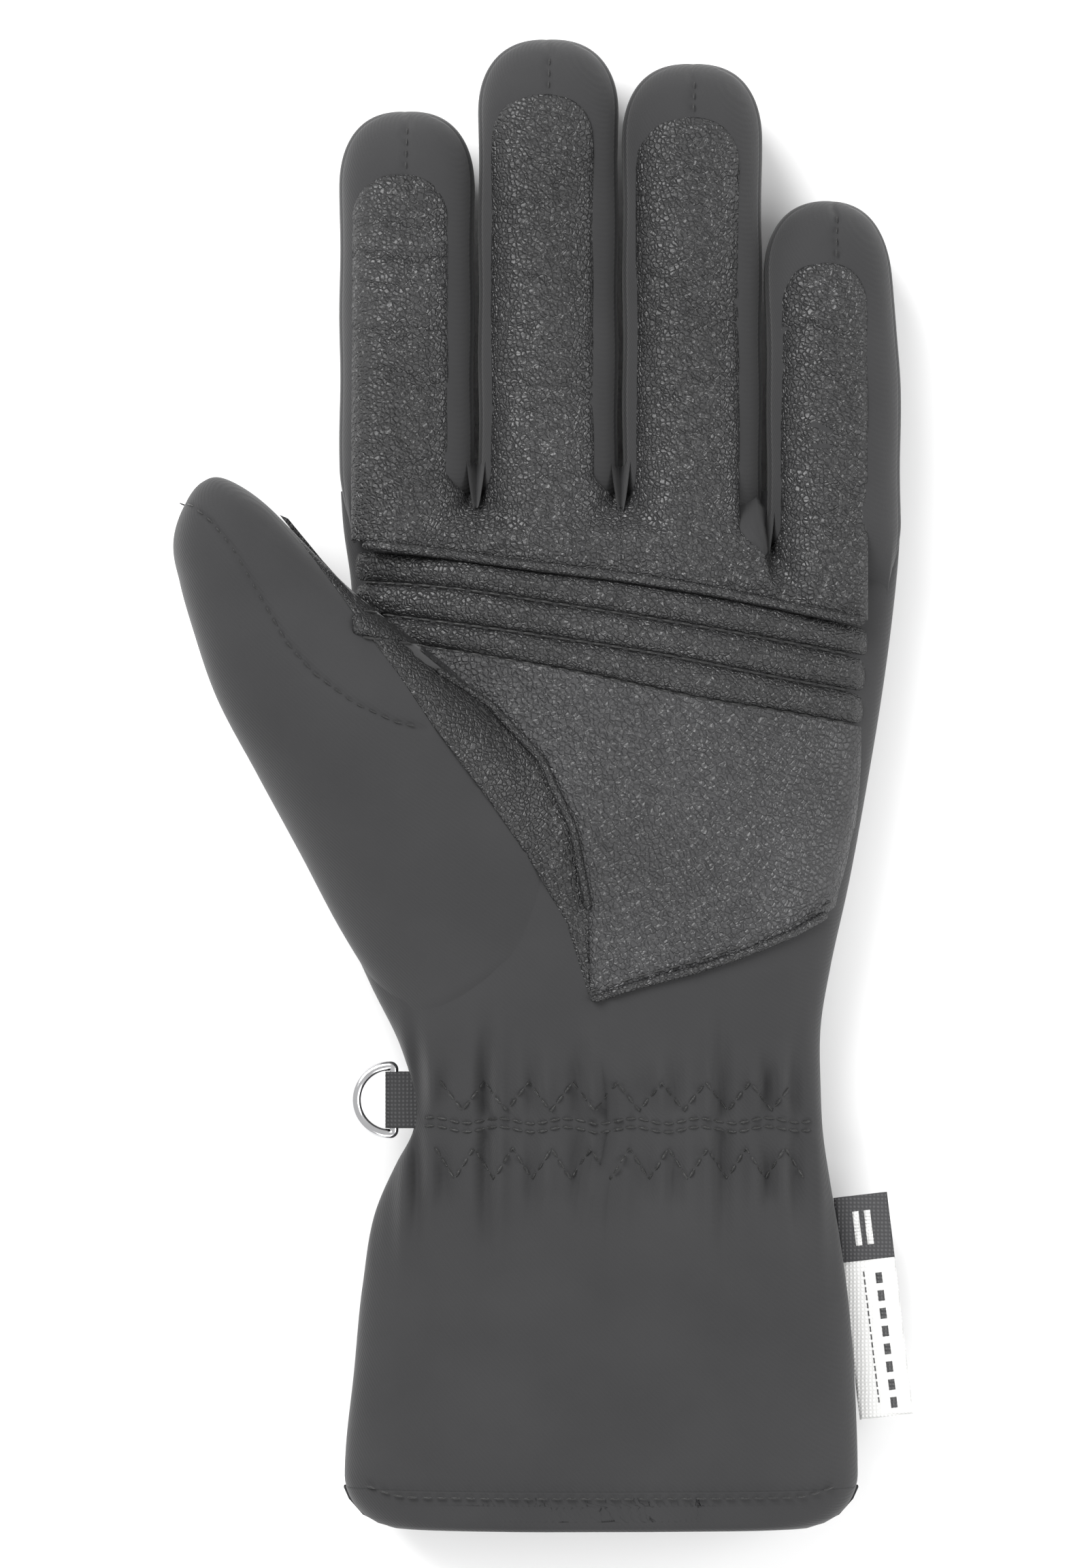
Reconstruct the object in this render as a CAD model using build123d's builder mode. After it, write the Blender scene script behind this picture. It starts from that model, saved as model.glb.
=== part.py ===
from build123d import *
import os
from math import cos, radians, sin, tan

# Left-hand ski glove lying on its back: palm up (+Z), fingertips towards +Y, thumb at -X.
# The origin is the middle of the flat face that the back of the hand rests on. Millimetres.
os.makedirs("parts", exist_ok=True)

# ---- driving dimensions ----
SHELL = 0.8            # outer leather or softshell
PADDING = 1.8          # insulation
MEMBRANE = 0.3         # waterproof insert
LINING = 0.7           # fleece
INSET_PADDING = SHELL
INSET_MEMBRANE = INSET_PADDING + PADDING
INSET_LINING = INSET_MEMBRANE + MEMBRANE
INSET_CAVITY = INSET_LINING + LINING

HAND_HEIGHT = 28.0     # thickness of the hand and the cuff, back to palm
HAND_EDGE = 11.5       # rounding of their long edges
MID = HAND_HEIGHT / 2
FINGER_LOW = 1.5
FINGER_HIGH = 27.0
FINGER_EDGE = 9.5
FINGER_CORNER = 10.5   # rounding of a fingertip seen from the palm
BASE_LONG = 54.0       # base plane of the index, middle and ring fingers
BASE_LITTLE = 44.0     # base plane of the little finger
JOINT_GAP = 0.3        # gap between a finger's base face and the hand
RUN_ON = 16.0          # how far a body is made past its cut
BACK_SEAM = 10.0       # height of the seam between a finger's back panel and its sides
PALM_SEAM = 15.0       # lowest height of the palm-side panels

HEM_Y = -140.4         # open end of the cuff
HEM_SEAM = -133.0      # seam of the hem binding
HEM_CORNER = 9.0
WRIST_Y = -66.5        # bending line of the wrist, at half the glove's thickness
WRIST_WEDGE = 13.0     # slope of each wrist face, so that the cuff can turn 25 degrees both ways
WRIST_GAP = 0.15
WRIST_TAPE = (-61.5, -56.0)
CUFF_TAPE = (-75.5, -70.5)
TAPE = 0.6             # thickness of an elastic tape

THUMB_LEAN = 31.0      # angle between the thumb and +Y
THUMB_CUT = 48.5       # place of the thumb's base plane along the thumb's own axis
THUMB_TIP = 88.0
THUMB_SIDE = (-56.3, -29.5)
THUMB_LOW = 14.0
THUMB_HIGH = 40.0
THUMB_EDGE = 8.0
THENAR_END = -15.0     # where the thumb's swelling has sunk into the palm

PIPING = 1.8
PIPING_RISE = 0.9
FOAM_RISE = 1.2

# left and right edge at the base, left and right edge at the tip, tip, base plane, panel top
FINGERS = {
    "index": (-52.3, -26.5, -51.6, -27.2, 126.7, BASE_LONG, 113.7),
    "middle": (-26.1, 0.7, -26.1, 0.2, 140.3, BASE_LONG, 128.8),
    "ring": (1.1, 27.8, 1.4, 27.6, 135.7, BASE_LONG, 124.5),
    "little": (28.3, 54.0, 28.9, 49.4, 109.8, BASE_LITTLE, 97.2),
}
PANEL_LEFT = 2.6       # softshell that shows left of a finger's leather panel
PANEL_RIGHT = 4.6      # and right of it
LITTLE_SIDE = 27.8     # outer side of the ring finger's stub, beside the little finger

WEBBING = 0.6
WEBBING_WIDTH = 10.6
WIRE = 0.9             # radius of the ring's wire
RING_RADIUS = 6.4
RING_Y = -60.0
RING_BAR_X = -41.9     # straight side of the ring
RING_CORNER = 0.7
TAB_ROOT_X = -39.3

LABEL_WIDTH = 9.0
LABEL = 0.5
LABEL_Z = 11.0
LABEL_TOP = (42.3, -78.6)
LABEL_LEAN = 6.8
LABEL_DARK = 12.4      # length of the dark label
LABEL_LENGTH = 42.3

SIDE_RADIUS = 20.0     # rounding where a long side changes direction
PALM_OUTLINE = [
    (-38.2, WRIST_Y - RUN_ON), (-38.2, -53.5), (-46.5, -38), (-53.2, -22), (-54, -4),
    (-49.4, 25), (-49.8, 38), (-52.3, BASE_LONG), (-52.3, BASE_LONG + RUN_ON),
    (54, BASE_LONG + RUN_ON), (54, 46), (51.3, 22), (47, -3), (42.6, -29), (39.2, -46),
    (39, WRIST_Y - RUN_ON),
]
CUFF_OUTLINE = [
    (-38.6, WRIST_Y + RUN_ON), (-38.6, -66), (-45.2, -81), (-50.4, -118),
    (-51.4, HEM_Y - RUN_ON), (45.9, HEM_Y - RUN_ON), (45.2, -118), (43.2, -95),
    (39.4, -72), (39.2, WRIST_Y + RUN_ON),
]
KNUCKLE_LINE = [(-60, 45.4), (-37, 43.4), (-11, 40), (13, 36.6), (37, 31.9), (62, 26.5)]
ROLL_LINE_1 = [(-60, 38.4), (-24, 35.2), (2, 31.4), (26, 27.1), (62, 19.8)]
ROLL_LINE_2 = [(-60, 34), (-26, 29.6), (-2, 25.7), (30, 19.7), (62, 13.5)]
ROLL_LINE_3 = [(-60, 29), (-21, 22.9), (6, 17.8), (30, 13.4), (62, 6.7)]
HEEL_LINE = [(62, -14), (41.6, -23.4), (24, -32), (5, -37.6), (-14, -43)]
GUSSET_RIGHT = [(-29, 18.5), (-18, 9.7), (-11, -1), (-6.5, -16), (-4.7, -31), (-5, -46)]
GUSSET_LEFT = [(-5, -46), (-9.2, -26), (-16.4, -14), (-28.2, 2.4), (-41, 20), (-52, 34)]

LEAN = radians(THUMB_LEAN)
THUMB_PLANE = Plane(origin=(0, 0, 0), x_dir=(cos(LEAN), sin(LEAN), 0), z_dir=(0, 0, 1))


def save(piece, label):
    """Name a finished piece and write it."""
    piece.part.label = label
    export_step(piece.part, f"parts/{label}.step")


def block(x_range, y_range, z_range, plane=Plane.XY):
    """A plain block between the given limits, in the given plane's own directions."""
    with BuildPart() as body:
        with BuildSketch(plane.offset(z_range[0])):
            with Locations((sum(x_range) / 2, sum(y_range) / 2)):
                Rectangle(x_range[1] - x_range[0], y_range[1] - y_range[0])
        extrude(amount=z_range[1] - z_range[0])
    return body.part


def prism(points, z_range):
    """An upright prism over a closed outline."""
    with BuildPart() as body:
        with BuildSketch(Plane.XY.offset(z_range[0])):
            with BuildLine():
                Polyline(*points, close=True)
            make_face()
        extrude(amount=z_range[1] - z_range[0])
    return body.part


def layer(label, outer, inner, keep=(), cut=()):
    """The piece between two nested bodies, kept inside some volumes and outside others."""
    with BuildPart() as piece:
        add(outer)
        add(inner, mode=Mode.SUBTRACT)
        for volume in keep:
            add(volume, mode=Mode.INTERSECT)
        for volume in cut:
            add(volume, mode=Mode.SUBTRACT)
    save(piece, label)


def pillow(outline, height, edge, inset):
    """A flattened tube over an open-ended outline, made smaller by inset on every side."""
    corners = [0] + [SIDE_RADIUS] * (len(outline) - 2) + [0]
    for end in range(1, len(outline) - 1):
        before, here, after = outline[end - 1], outline[end], outline[end + 1]
        if here[1] in (before[1], after[1]):
            corners[end] = 0
    with BuildPart() as body:
        with BuildSketch(Plane.XY.offset(inset)):
            with BuildLine():
                FilletPolyline(*outline, radius=corners, close=True)
            make_face()
            offset(amount=-inset, kind=Kind.INTERSECTION)
        extrude(amount=height - 2 * inset)
        flat = body.edges().filter_by(GeomType.LINE).filter_by(Axis.X)
        upright = body.edges().filter_by(Axis.Z)
        fillet(body.edges() - flat - upright, radius=edge - inset)
    return body.part


def finger_body(name, inset):
    """A closed finger with a rounded tip, open at its base plane."""
    left, right, tip_left, tip_right, tip, base, _ = FINGERS[name]
    start = base - RUN_ON
    run = RUN_ON / (tip - base)
    start_left = left + run * (left - tip_left)
    start_right = right + run * (right - tip_right)
    with BuildPart() as body:
        with BuildSketch(Plane.XY.offset(FINGER_LOW + inset)) as plan:
            with BuildLine():
                Polyline(
                    (start_left + inset, start), (tip_left + inset, tip - inset),
                    (tip_right - inset, tip - inset), (start_right - inset, start), close=True)
            make_face()
            fillet(plan.vertices().group_by(Axis.Y)[-1], radius=FINGER_CORNER - inset)
        extrude(amount=FINGER_HIGH - FINGER_LOW - 2 * inset)
        start_edges = body.edges().group_by(Axis.Y)[0]
        upright = body.edges().filter_by(Axis.Z)
        fillet(body.edges() - start_edges - upright, radius=FINGER_EDGE - inset)
        split(bisect_by=Plane.XZ.offset(-base - JOINT_GAP), keep=Keep.BOTTOM)
    return body.part


def thumb_body(inset):
    """The free end of the thumb, in the thumb's own leaning directions."""
    left, right = THUMB_SIDE
    start = THUMB_CUT - RUN_ON
    with BuildPart() as body:
        with BuildSketch(THUMB_PLANE.offset(THUMB_LOW + inset)) as plan:
            with BuildLine():
                Polyline(
                    (left + inset, start), (left + inset, THUMB_CUT),
                    (left + 9.2 + inset, THUMB_TIP - inset),
                    (right - 0.8 - inset, THUMB_TIP - inset),
                    (right - inset, THUMB_CUT), (right - inset, start), close=True)
            make_face()
            tip = plan.vertices().filter_by(lambda v: v.Y * cos(LEAN) - v.X * sin(LEAN) > 80)
            fillet(tip, radius=8.6 - inset)
        extrude(amount=THUMB_HIGH - THUMB_LOW - 2 * inset)
        along = lambda e: e.center().Y * cos(LEAN) - e.center().X * sin(LEAN)
        start_edges = [e for e in body.edges() if along(e) < start + 0.1]
        upright = body.edges().filter_by(Axis.Z)
        kept = [e for e in body.edges() if e not in upright and e not in start_edges]
        fillet(kept, radius=THUMB_EDGE - inset)
        add(block((-90, 0), (THUMB_CUT + JOINT_GAP, 120), (0, 60), THUMB_PLANE),
            mode=Mode.INTERSECT)
    return body.part


def thenar(inset):
    """The swelling that carries the thumb, from the thumb's base plane down to the wrist."""
    left, right = THUMB_SIDE
    wide = right - left
    section = Plane(origin=(0, 0, 0), x_dir=(cos(LEAN), sin(LEAN), 0),
                    z_dir=(sin(LEAN), -cos(LEAN), 0))
    with BuildPart() as body:
        with BuildSketch(section.offset(-THUMB_CUT - 2)):
            with Locations(((left + right) / 2, (THUMB_LOW + THUMB_HIGH) / 2)):
                RectangleRounded(wide - 2 * inset, THUMB_HIGH - THUMB_LOW - 2 * inset,
                                 THUMB_EDGE + 2 - inset)
        with BuildSketch(section.offset(-THENAR_END)):
            with Locations((-39.5, MID)):
                RectangleRounded(40 - 2 * inset, HAND_HEIGHT - 1 - 2 * inset,
                                 THUMB_EDGE + 2 - inset)
        loft()
        add(block((-90, 40), (-60, THUMB_CUT), (-10, 60), THUMB_PLANE), mode=Mode.INTERSECT)
    return body.part


def wrist_side(direction):
    """The space on one side of the wrist's bending line, with its two sloping faces."""
    start = WRIST_Y + direction * WRIST_GAP
    reach = 40
    slope = start + direction * reach * tan(radians(WRIST_WEDGE))
    far = start + direction * 260
    with BuildPart() as body:
        with BuildSketch(Plane.YZ.offset(-120)):
            with BuildLine():
                Polyline((start, MID), (slope, MID + reach), (far, MID + reach),
                         (far, MID - reach), (slope, MID - reach), close=True)
            make_face()
        extrude(amount=240)
    return body.part


HAND_SIDE = wrist_side(1)
CUFF_SIDE = wrist_side(-1)


def hand_body(inset, rise=0.0):
    """The hand with its thumb swelling, open at the fingers, the thumb and the wrist."""
    shift = inset - rise
    with BuildPart() as body:
        add(pillow(PALM_OUTLINE, HAND_HEIGHT, HAND_EDGE, shift))
        add(thenar(shift))
        add(block((-120, 120), (BASE_LONG, 120), (-20, 80)), mode=Mode.SUBTRACT)
        add(block((LITTLE_SIDE - shift, 120), (BASE_LITTLE, 120), (-20, 80)),
            mode=Mode.SUBTRACT)
        add(HAND_SIDE, mode=Mode.INTERSECT)
    return body.part


def cuff_body(inset):
    """The gauntlet cuff, a flattened tube open at both ends."""
    with BuildPart() as body:
        add(pillow(CUFF_OUTLINE, HAND_HEIGHT, HAND_EDGE, inset))
        add(CUFF_SIDE, mode=Mode.INTERSECT)
    return body.part


# ---- the four fingers ----
for name, (left, right, tip_left, tip_right, tip, base, panel_top) in FINGERS.items():
    skin, padding, membrane, lining, cavity = (
        finger_body(name, inset)
        for inset in (0, INSET_PADDING, INSET_MEMBRANE, INSET_LINING, INSET_CAVITY))
    panel_left = left + PANEL_LEFT
    panel_right = (right + tip_right) / 2 - PANEL_RIGHT
    arch = (panel_right - panel_left) / 2
    with BuildPart() as panel:
        with BuildSketch(Plane.XY.offset(PALM_SEAM)) as panel_plan:
            with Locations(((panel_left + panel_right) / 2, (base + panel_top) / 2)):
                Rectangle(2 * arch, panel_top - base)
            fillet(panel_plan.vertices().group_by(Axis.Y)[-1], radius=arch * 0.9)
        extrude(amount=FINGER_HIGH)
    back = block((-120, 120), (0, 200), (-10, BACK_SEAM))
    layer(f"{name}_leather", skin, padding, keep=[panel.part])
    layer(f"{name}_back_shell", skin, padding, keep=[back])
    layer(f"{name}_fourchettes", skin, padding, cut=[back, panel.part])
    layer(f"{name}_insulation", padding, membrane)
    layer(f"{name}_membrane", membrane, lining)
    layer(f"{name}_lining", lining, cavity)

# ---- the thumb ----
thumb_levels = [thumb_body(inset) for inset in
                (0, INSET_PADDING, INSET_MEMBRANE, INSET_LINING, INSET_CAVITY)]
thumb_strip = block((-34, 0), (0, 120), (THUMB_LOW + 10, 80), THUMB_PLANE)
layer("thumb_leather", thumb_levels[0], thumb_levels[1], keep=[thumb_strip])
layer("thumb_shell", thumb_levels[0], thumb_levels[1], cut=[thumb_strip])
layer("thumb_insulation", thumb_levels[1], thumb_levels[2])
layer("thumb_membrane", thumb_levels[2], thumb_levels[3])
layer("thumb_lining", thumb_levels[3], thumb_levels[4])

# ---- the hand ----
hand_levels = [hand_body(inset) for inset in
               (0, INSET_PADDING, INSET_MEMBRANE, INSET_LINING, INSET_CAVITY)]
hand_tape_level = hand_body(INSET_PADDING + TAPE)
hand_foam_level = hand_body(0, FOAM_RISE)
hand_roll_level = hand_body(0, FOAM_RISE + SHELL)
hand_piping_level = hand_body(0, PIPING_RISE)

TOP = (PALM_SEAM, 60)
FAR = 70
above_knuckles = prism(KNUCKLE_LINE + [(FAR, 80), (-FAR, 80)], TOP)
above_rolls = prism(ROLL_LINE_3 + [(FAR, 80), (-FAR, 80)], TOP)
below_heel = prism(HEEL_LINE + [(-FAR, -43), (-FAR, -90), (FAR, -90)], TOP)
gusset = prism(GUSSET_RIGHT + GUSSET_LEFT[1:] + [(-52, 42), (-40, 32)], TOP)
thumb_ground = prism(GUSSET_LEFT + [(-54, 80), (-120, 80), (-120, -46)], TOP)
below_seam = block((-120, 120), (-120, 80), (-10, PALM_SEAM))

layer("thumb_gusset_leather", hand_levels[0], hand_levels[1], keep=[gusset], cut=[below_heel])
layer("palm_leather_upper", hand_levels[0], hand_levels[1],
      keep=[above_knuckles], cut=[gusset, thumb_ground])
layer("palm_leather_lower", hand_levels[0], hand_levels[1],
      cut=[above_rolls, below_heel, gusset, thumb_ground, below_seam])
layer("wrist_front_shell", hand_levels[0], hand_levels[1],
      keep=[below_heel.fuse(thumb_ground)], cut=[gusset - below_heel])
layer("hand_back_shell", hand_levels[0], hand_levels[1], keep=[below_seam])

roll_bounds = [KNUCKLE_LINE, ROLL_LINE_1, ROLL_LINE_2, ROLL_LINE_3]
ROLL_SEAM = 0.4        # half of the stitched groove between two rolls
strips = []
for upper, lower in zip(roll_bounds, roll_bounds[1:]):
    lifted = [(x, y + ROLL_SEAM) for x, y in lower]
    dropped = [(x, y - ROLL_SEAM) for x, y in upper]
    strips.append(prism(dropped + lifted[::-1], TOP))
with BuildPart() as roll_zone:
    for strip in strips:
        add(strip)
layer("palm_foam_rolls", hand_foam_level, hand_levels[1], keep=[roll_zone.part],
      cut=[gusset, thumb_ground])
layer("palm_roll_leather", hand_roll_level, hand_foam_level, keep=[roll_zone.part],
      cut=[gusset, thumb_ground])


def cord_zone(line, width):
    """An upright strip of even width along an open line."""
    with BuildPart() as body:
        with BuildSketch(Plane.XY.offset(PALM_SEAM + 2)):
            with BuildLine() as path:
                Polyline(*line)
            trace(path.line, line_width=width)
        extrude(amount=60)
    return body.part


layer("knuckle_piping", hand_piping_level, hand_levels[0],
      keep=[cord_zone([(x, y + 0.9) for x, y in KNUCKLE_LINE], PIPING)],
      cut=[gusset, thumb_ground, roll_zone.part])
layer("heel_piping", hand_piping_level, hand_levels[0],
      keep=[cord_zone(HEEL_LINE, PIPING)], cut=[gusset, thumb_ground])
layer("gusset_piping", hand_piping_level, hand_levels[0],
      keep=[cord_zone(GUSSET_RIGHT[:-1], PIPING)],
      cut=[roll_zone.part, cord_zone(HEEL_LINE, PIPING)])

wrist_band = block((-120, 120), WRIST_TAPE, (-10, 60))
layer("wrist_elastic", hand_levels[1], hand_tape_level, keep=[wrist_band])
with BuildPart() as wrist_tape_space:
    add(hand_levels[1])
    add(hand_tape_level, mode=Mode.SUBTRACT)
    add(wrist_band, mode=Mode.INTERSECT)
layer("hand_insulation", hand_levels[1], hand_levels[2], cut=[wrist_tape_space.part])
layer("hand_membrane", hand_levels[2], hand_levels[3])
layer("hand_lining", hand_levels[3], hand_levels[4])

# ---- the cuff ----
cuff_levels = [cuff_body(inset) for inset in
               (0, INSET_PADDING, INSET_MEMBRANE, INSET_LINING, INSET_CAVITY)]
cuff_tape_level = cuff_body(INSET_PADDING + TAPE)
with BuildPart() as mouth:
    with BuildSketch(Plane.XY.offset(-10)) as mouth_plan:
        with Locations((-2.75, (HEM_Y + 0) / 2)):
            Rectangle(97.6, -HEM_Y)
        fillet(mouth_plan.vertices().group_by(Axis.Y)[0], radius=HEM_CORNER)
    extrude(amount=60)
hem_zone = block((-120, 120), (HEM_Y - 30, HEM_SEAM), (-10, 60))
palm_half = block((-120, 120), (-160, 0), (MID, 60))
layer("cuff_front", cuff_levels[0], cuff_levels[1],
      keep=[mouth.part, palm_half], cut=[hem_zone])
layer("cuff_back", cuff_levels[0], cuff_levels[1],
      keep=[mouth.part], cut=[hem_zone, palm_half])
cuff_band = block((-120, 120), CUFF_TAPE, (-10, 60))
layer("cuff_elastic", cuff_levels[1], cuff_tape_level, keep=[cuff_band])
with BuildPart() as cuff_tape_space:
    add(cuff_levels[1])
    add(cuff_tape_level, mode=Mode.SUBTRACT)
    add(cuff_band, mode=Mode.INTERSECT)
layer("cuff_insulation", cuff_levels[1], cuff_levels[3],
      keep=[mouth.part], cut=[hem_zone, cuff_tape_space.part])
layer("cuff_lining", cuff_levels[3], cuff_levels[4], keep=[mouth.part], cut=[hem_zone])
layer("hem_binding", cuff_levels[0], cuff_levels[4], keep=[mouth.part, hem_zone])

CARE_LABEL = (20.0, 28.0, 0.4)
with BuildPart() as care_label:
    with BuildSketch(Plane.XY.offset(INSET_CAVITY)):
        with Locations((-22, -108)):
            Rectangle(CARE_LABEL[0], CARE_LABEL[1])
    extrude(amount=CARE_LABEL[2])
save(care_label, "care_label")

# ---- the two woven labels in the little-finger side seam ----
label_lean = radians(LABEL_LEAN)
label_plane = Plane(origin=(LABEL_TOP[0], LABEL_TOP[1], LABEL_Z - LABEL / 2),
                    x_dir=(cos(label_lean), sin(label_lean), 0), z_dir=(0, 0, 1))
for label, start, end in (("side_label_dark", 0, LABEL_DARK),
                          ("side_label_light", LABEL_DARK, LABEL_LENGTH)):
    with BuildPart() as woven:
        with BuildSketch(label_plane):
            with Locations((LABEL_WIDTH / 2, -(start + end) / 2)):
                Rectangle(LABEL_WIDTH, end - start)
        extrude(amount=LABEL)
    save(woven, label)

# ---- the D-ring and its webbing loop ----
bow_x = RING_BAR_X - RING_CORNER
ring_low = RING_Y - RING_RADIUS
ring_high = RING_Y + RING_RADIUS
with BuildPart() as d_ring:
    with BuildLine(Plane.XY.offset(MID)) as ring_path:
        Line((RING_BAR_X, ring_low + RING_CORNER), (RING_BAR_X, ring_high - RING_CORNER))
        JernArc((RING_BAR_X, ring_high - RING_CORNER), (0, 1), RING_CORNER, 90)
        ThreePointArc((bow_x, ring_high), (bow_x - RING_RADIUS, RING_Y), (bow_x, ring_low))
        JernArc((bow_x, ring_low), (1, 0), RING_CORNER, 90)
    with BuildSketch(Plane(origin=(RING_BAR_X, RING_Y, MID), z_dir=(0, 1, 0))):
        Circle(WIRE)
    sweep(path=ring_path.wire())
save(d_ring, "d_ring")

with BuildPart() as webbing_loop:
    with BuildSketch(Plane.XZ.offset(-RING_Y - WEBBING_WIDTH / 2)) as fold:
        outer = WIRE + 0.1 + WEBBING
        inner = WIRE + 0.1
        with Locations((RING_BAR_X, MID)):
            Circle(outer)
        with Locations(((RING_BAR_X + TAB_ROOT_X) / 2, MID)):
            Rectangle(TAB_ROOT_X - RING_BAR_X, 2 * outer)
        with Locations((RING_BAR_X, MID)):
            Circle(inner, mode=Mode.SUBTRACT)
        with Locations(((RING_BAR_X + TAB_ROOT_X) / 2 - 0.5, MID)):
            Rectangle(TAB_ROOT_X - RING_BAR_X - 1, 2 * inner, mode=Mode.SUBTRACT)
    extrude(amount=WEBBING_WIDTH)
save(webbing_loop, "webbing_loop")
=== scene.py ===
import math
import bpy
import numpy as np
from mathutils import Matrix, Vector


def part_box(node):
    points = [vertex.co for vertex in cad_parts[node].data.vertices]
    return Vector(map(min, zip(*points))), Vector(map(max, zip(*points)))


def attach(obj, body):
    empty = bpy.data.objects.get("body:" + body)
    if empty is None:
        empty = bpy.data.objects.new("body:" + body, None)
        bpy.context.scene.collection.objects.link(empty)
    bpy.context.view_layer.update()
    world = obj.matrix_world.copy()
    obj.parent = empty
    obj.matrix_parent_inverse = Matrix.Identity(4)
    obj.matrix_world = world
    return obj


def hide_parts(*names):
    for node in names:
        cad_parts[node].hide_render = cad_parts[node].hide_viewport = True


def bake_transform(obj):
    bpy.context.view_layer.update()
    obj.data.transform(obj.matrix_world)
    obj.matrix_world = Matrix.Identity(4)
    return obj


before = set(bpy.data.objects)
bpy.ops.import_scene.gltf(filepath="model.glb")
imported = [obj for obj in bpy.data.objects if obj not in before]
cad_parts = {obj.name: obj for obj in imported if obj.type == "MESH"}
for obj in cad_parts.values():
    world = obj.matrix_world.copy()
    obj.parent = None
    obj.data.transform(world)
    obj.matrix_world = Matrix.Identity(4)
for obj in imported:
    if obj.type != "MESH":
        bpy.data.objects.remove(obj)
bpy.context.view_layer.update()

# Sizes below are in millimetres, in the frame of the CAD model, and become metres in build().
# The light and the camera are set up in metres.
MM = 0.001
rng = np.random.default_rng(7)
FINGERS = ("index", "middle", "ring", "little")
LEAN = math.radians(31)
# where the gap beside each finger starts
CROTCH = {"index": 53.0, "middle": 53.0, "ring": 52.0, "little": 43.0}
LONG_BASE = 54.0         # end of the hand at the index, middle and ring fingers
LITTLE_DROP = 10.0       # how much lower it ends at the little finger


def cad_box(node):
    """Lowest and highest corner of a CAD node, in millimetres."""
    low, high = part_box(node)
    return np.array(low) / MM, np.array(high) / MM


def curve(*points):
    """A smooth function through given (place, value) points."""
    points = sorted(points)
    xs = np.array([p[0] for p in points], float)
    ys = np.array([p[1] for p in points], float)
    slopes = np.gradient(ys, xs)

    def value(x):
        x = np.clip(np.asarray(x, float), xs[0], xs[-1])
        i = np.clip(np.searchsorted(xs, x) - 1, 0, len(xs) - 2)
        span = xs[i + 1] - xs[i]
        t = (x - xs[i]) / span
        return (ys[i] * (2 * t**3 - 3 * t**2 + 1) + slopes[i] * span * (t**3 - 2 * t**2 + t)
                + ys[i + 1] * (3 * t**2 - 2 * t**3) + slopes[i + 1] * span * (t**3 - t**2))
    return value


def smoothstep(low, high, x):
    t = np.clip((x - low) / (high - low), 0, 1)
    return t * t * (3 - 2 * t)


def crown(u, power):
    """Height of a superellipse of half-width 1 and half-height 1."""
    return np.maximum(1 - np.abs(np.clip(u, -1, 1)) ** power, 0) ** (1 / power)


def smooth_max(a, b, reach):
    h = np.clip(0.5 + 0.5 * (a - b) / reach, 0, 1)
    return b + (a - b) * h + reach * h * (1 - h)


# ---- the glove's outer surface, as heights over the plan ----
LEFT = curve((60, -52.2), (48, -51.4), (38, -50.0), (25, -49.6), (0, -52.5), (-22, -52.8),
             (-38, -46.4), (-50, -40.6), (-58, -38.3), (-66, -38.3), (-72, -41.4), (-80, -45.0),
             (-95, -47.8), (-112, -49.5), (-126, -51.0), (-141, -51.3))
RIGHT = curve((60, 53.8), (46, 53.7), (32, 52.4), (17, 50.4), (0, 47.6), (-20, 43.9), (-35, 40.6),
              (-46, 38.8), (-58, 38.8), (-66, 39.2), (-75, 40.5), (-85, 42.2), (-97, 43.9),
              (-112, 45.1), (-126, 45.7), (-141, 45.8))
TOP = curve((60, 27.2), (20, 27.6), (-30, 27.0), (-50, 25.4), (-62, 24.0), (-69, 24.0), (-82, 26.0),
            (-100, 27.2), (-141, 27.6))
LOW = curve((60, 0.5), (20, 0.2), (-40, 0.5), (-62, 2.6), (-69, 2.6), (-82, 1.0), (-100, 0.3),
            (-141, 0.1))
BODY_POWER = 2.7
HEM_Y = cad_box("hem_binding")[0][1]
HEM_SEAM = cad_box("hem_binding")[1][1]
HEM_CORNER = 10.0


def body_sides(y):
    """Left and right edge of the hand and cuff, with the hem's rounded corners."""
    below = np.clip(HEM_Y + HEM_CORNER - y, 0, HEM_CORNER * 0.985)
    corner = HEM_CORNER - np.sqrt(HEM_CORNER**2 - below**2)
    return LEFT(y) + corner, RIGHT(y) - corner


def gathers(x, y):
    """Soft folds that the wrist elastic pulls into the fabric, above and below it."""
    wave = (np.sin(x * 0.86 + 1.1 * np.sin(x * 0.19)) + 0.55 * np.sin(x * 1.43 + 1.7)
            + 0.35 * np.sin(x * 0.47 + y * 0.06))
    reach = 0.75 + 0.35 * np.sin(x * 0.31 + 2)
    upper = np.exp(-((y + 57) / (11 * reach)) ** 2)
    lower = np.exp(-((y + 74) / (12 * reach)) ** 2)
    pinch = 1 - 0.75 * np.exp(-((y + 64.3) / 1.8) ** 2)
    return (upper + lower) * pinch * wave * 1.15


def soft_swell(x, y):
    """Slow unevenness of padded fabric."""
    return (0.35 * np.sin(x * 0.083 + y * 0.061) + 0.28 * np.sin(x * 0.13 - y * 0.097 + 2)
            + 0.16 * np.sin(x * 0.31 + y * 0.23 + 1))


def finger_end(x):
    """How far up the hand reaches before it closes between the fingers."""
    return LONG_BASE - LITTLE_DROP * smoothstep(26.5, 29.5, x)


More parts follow.
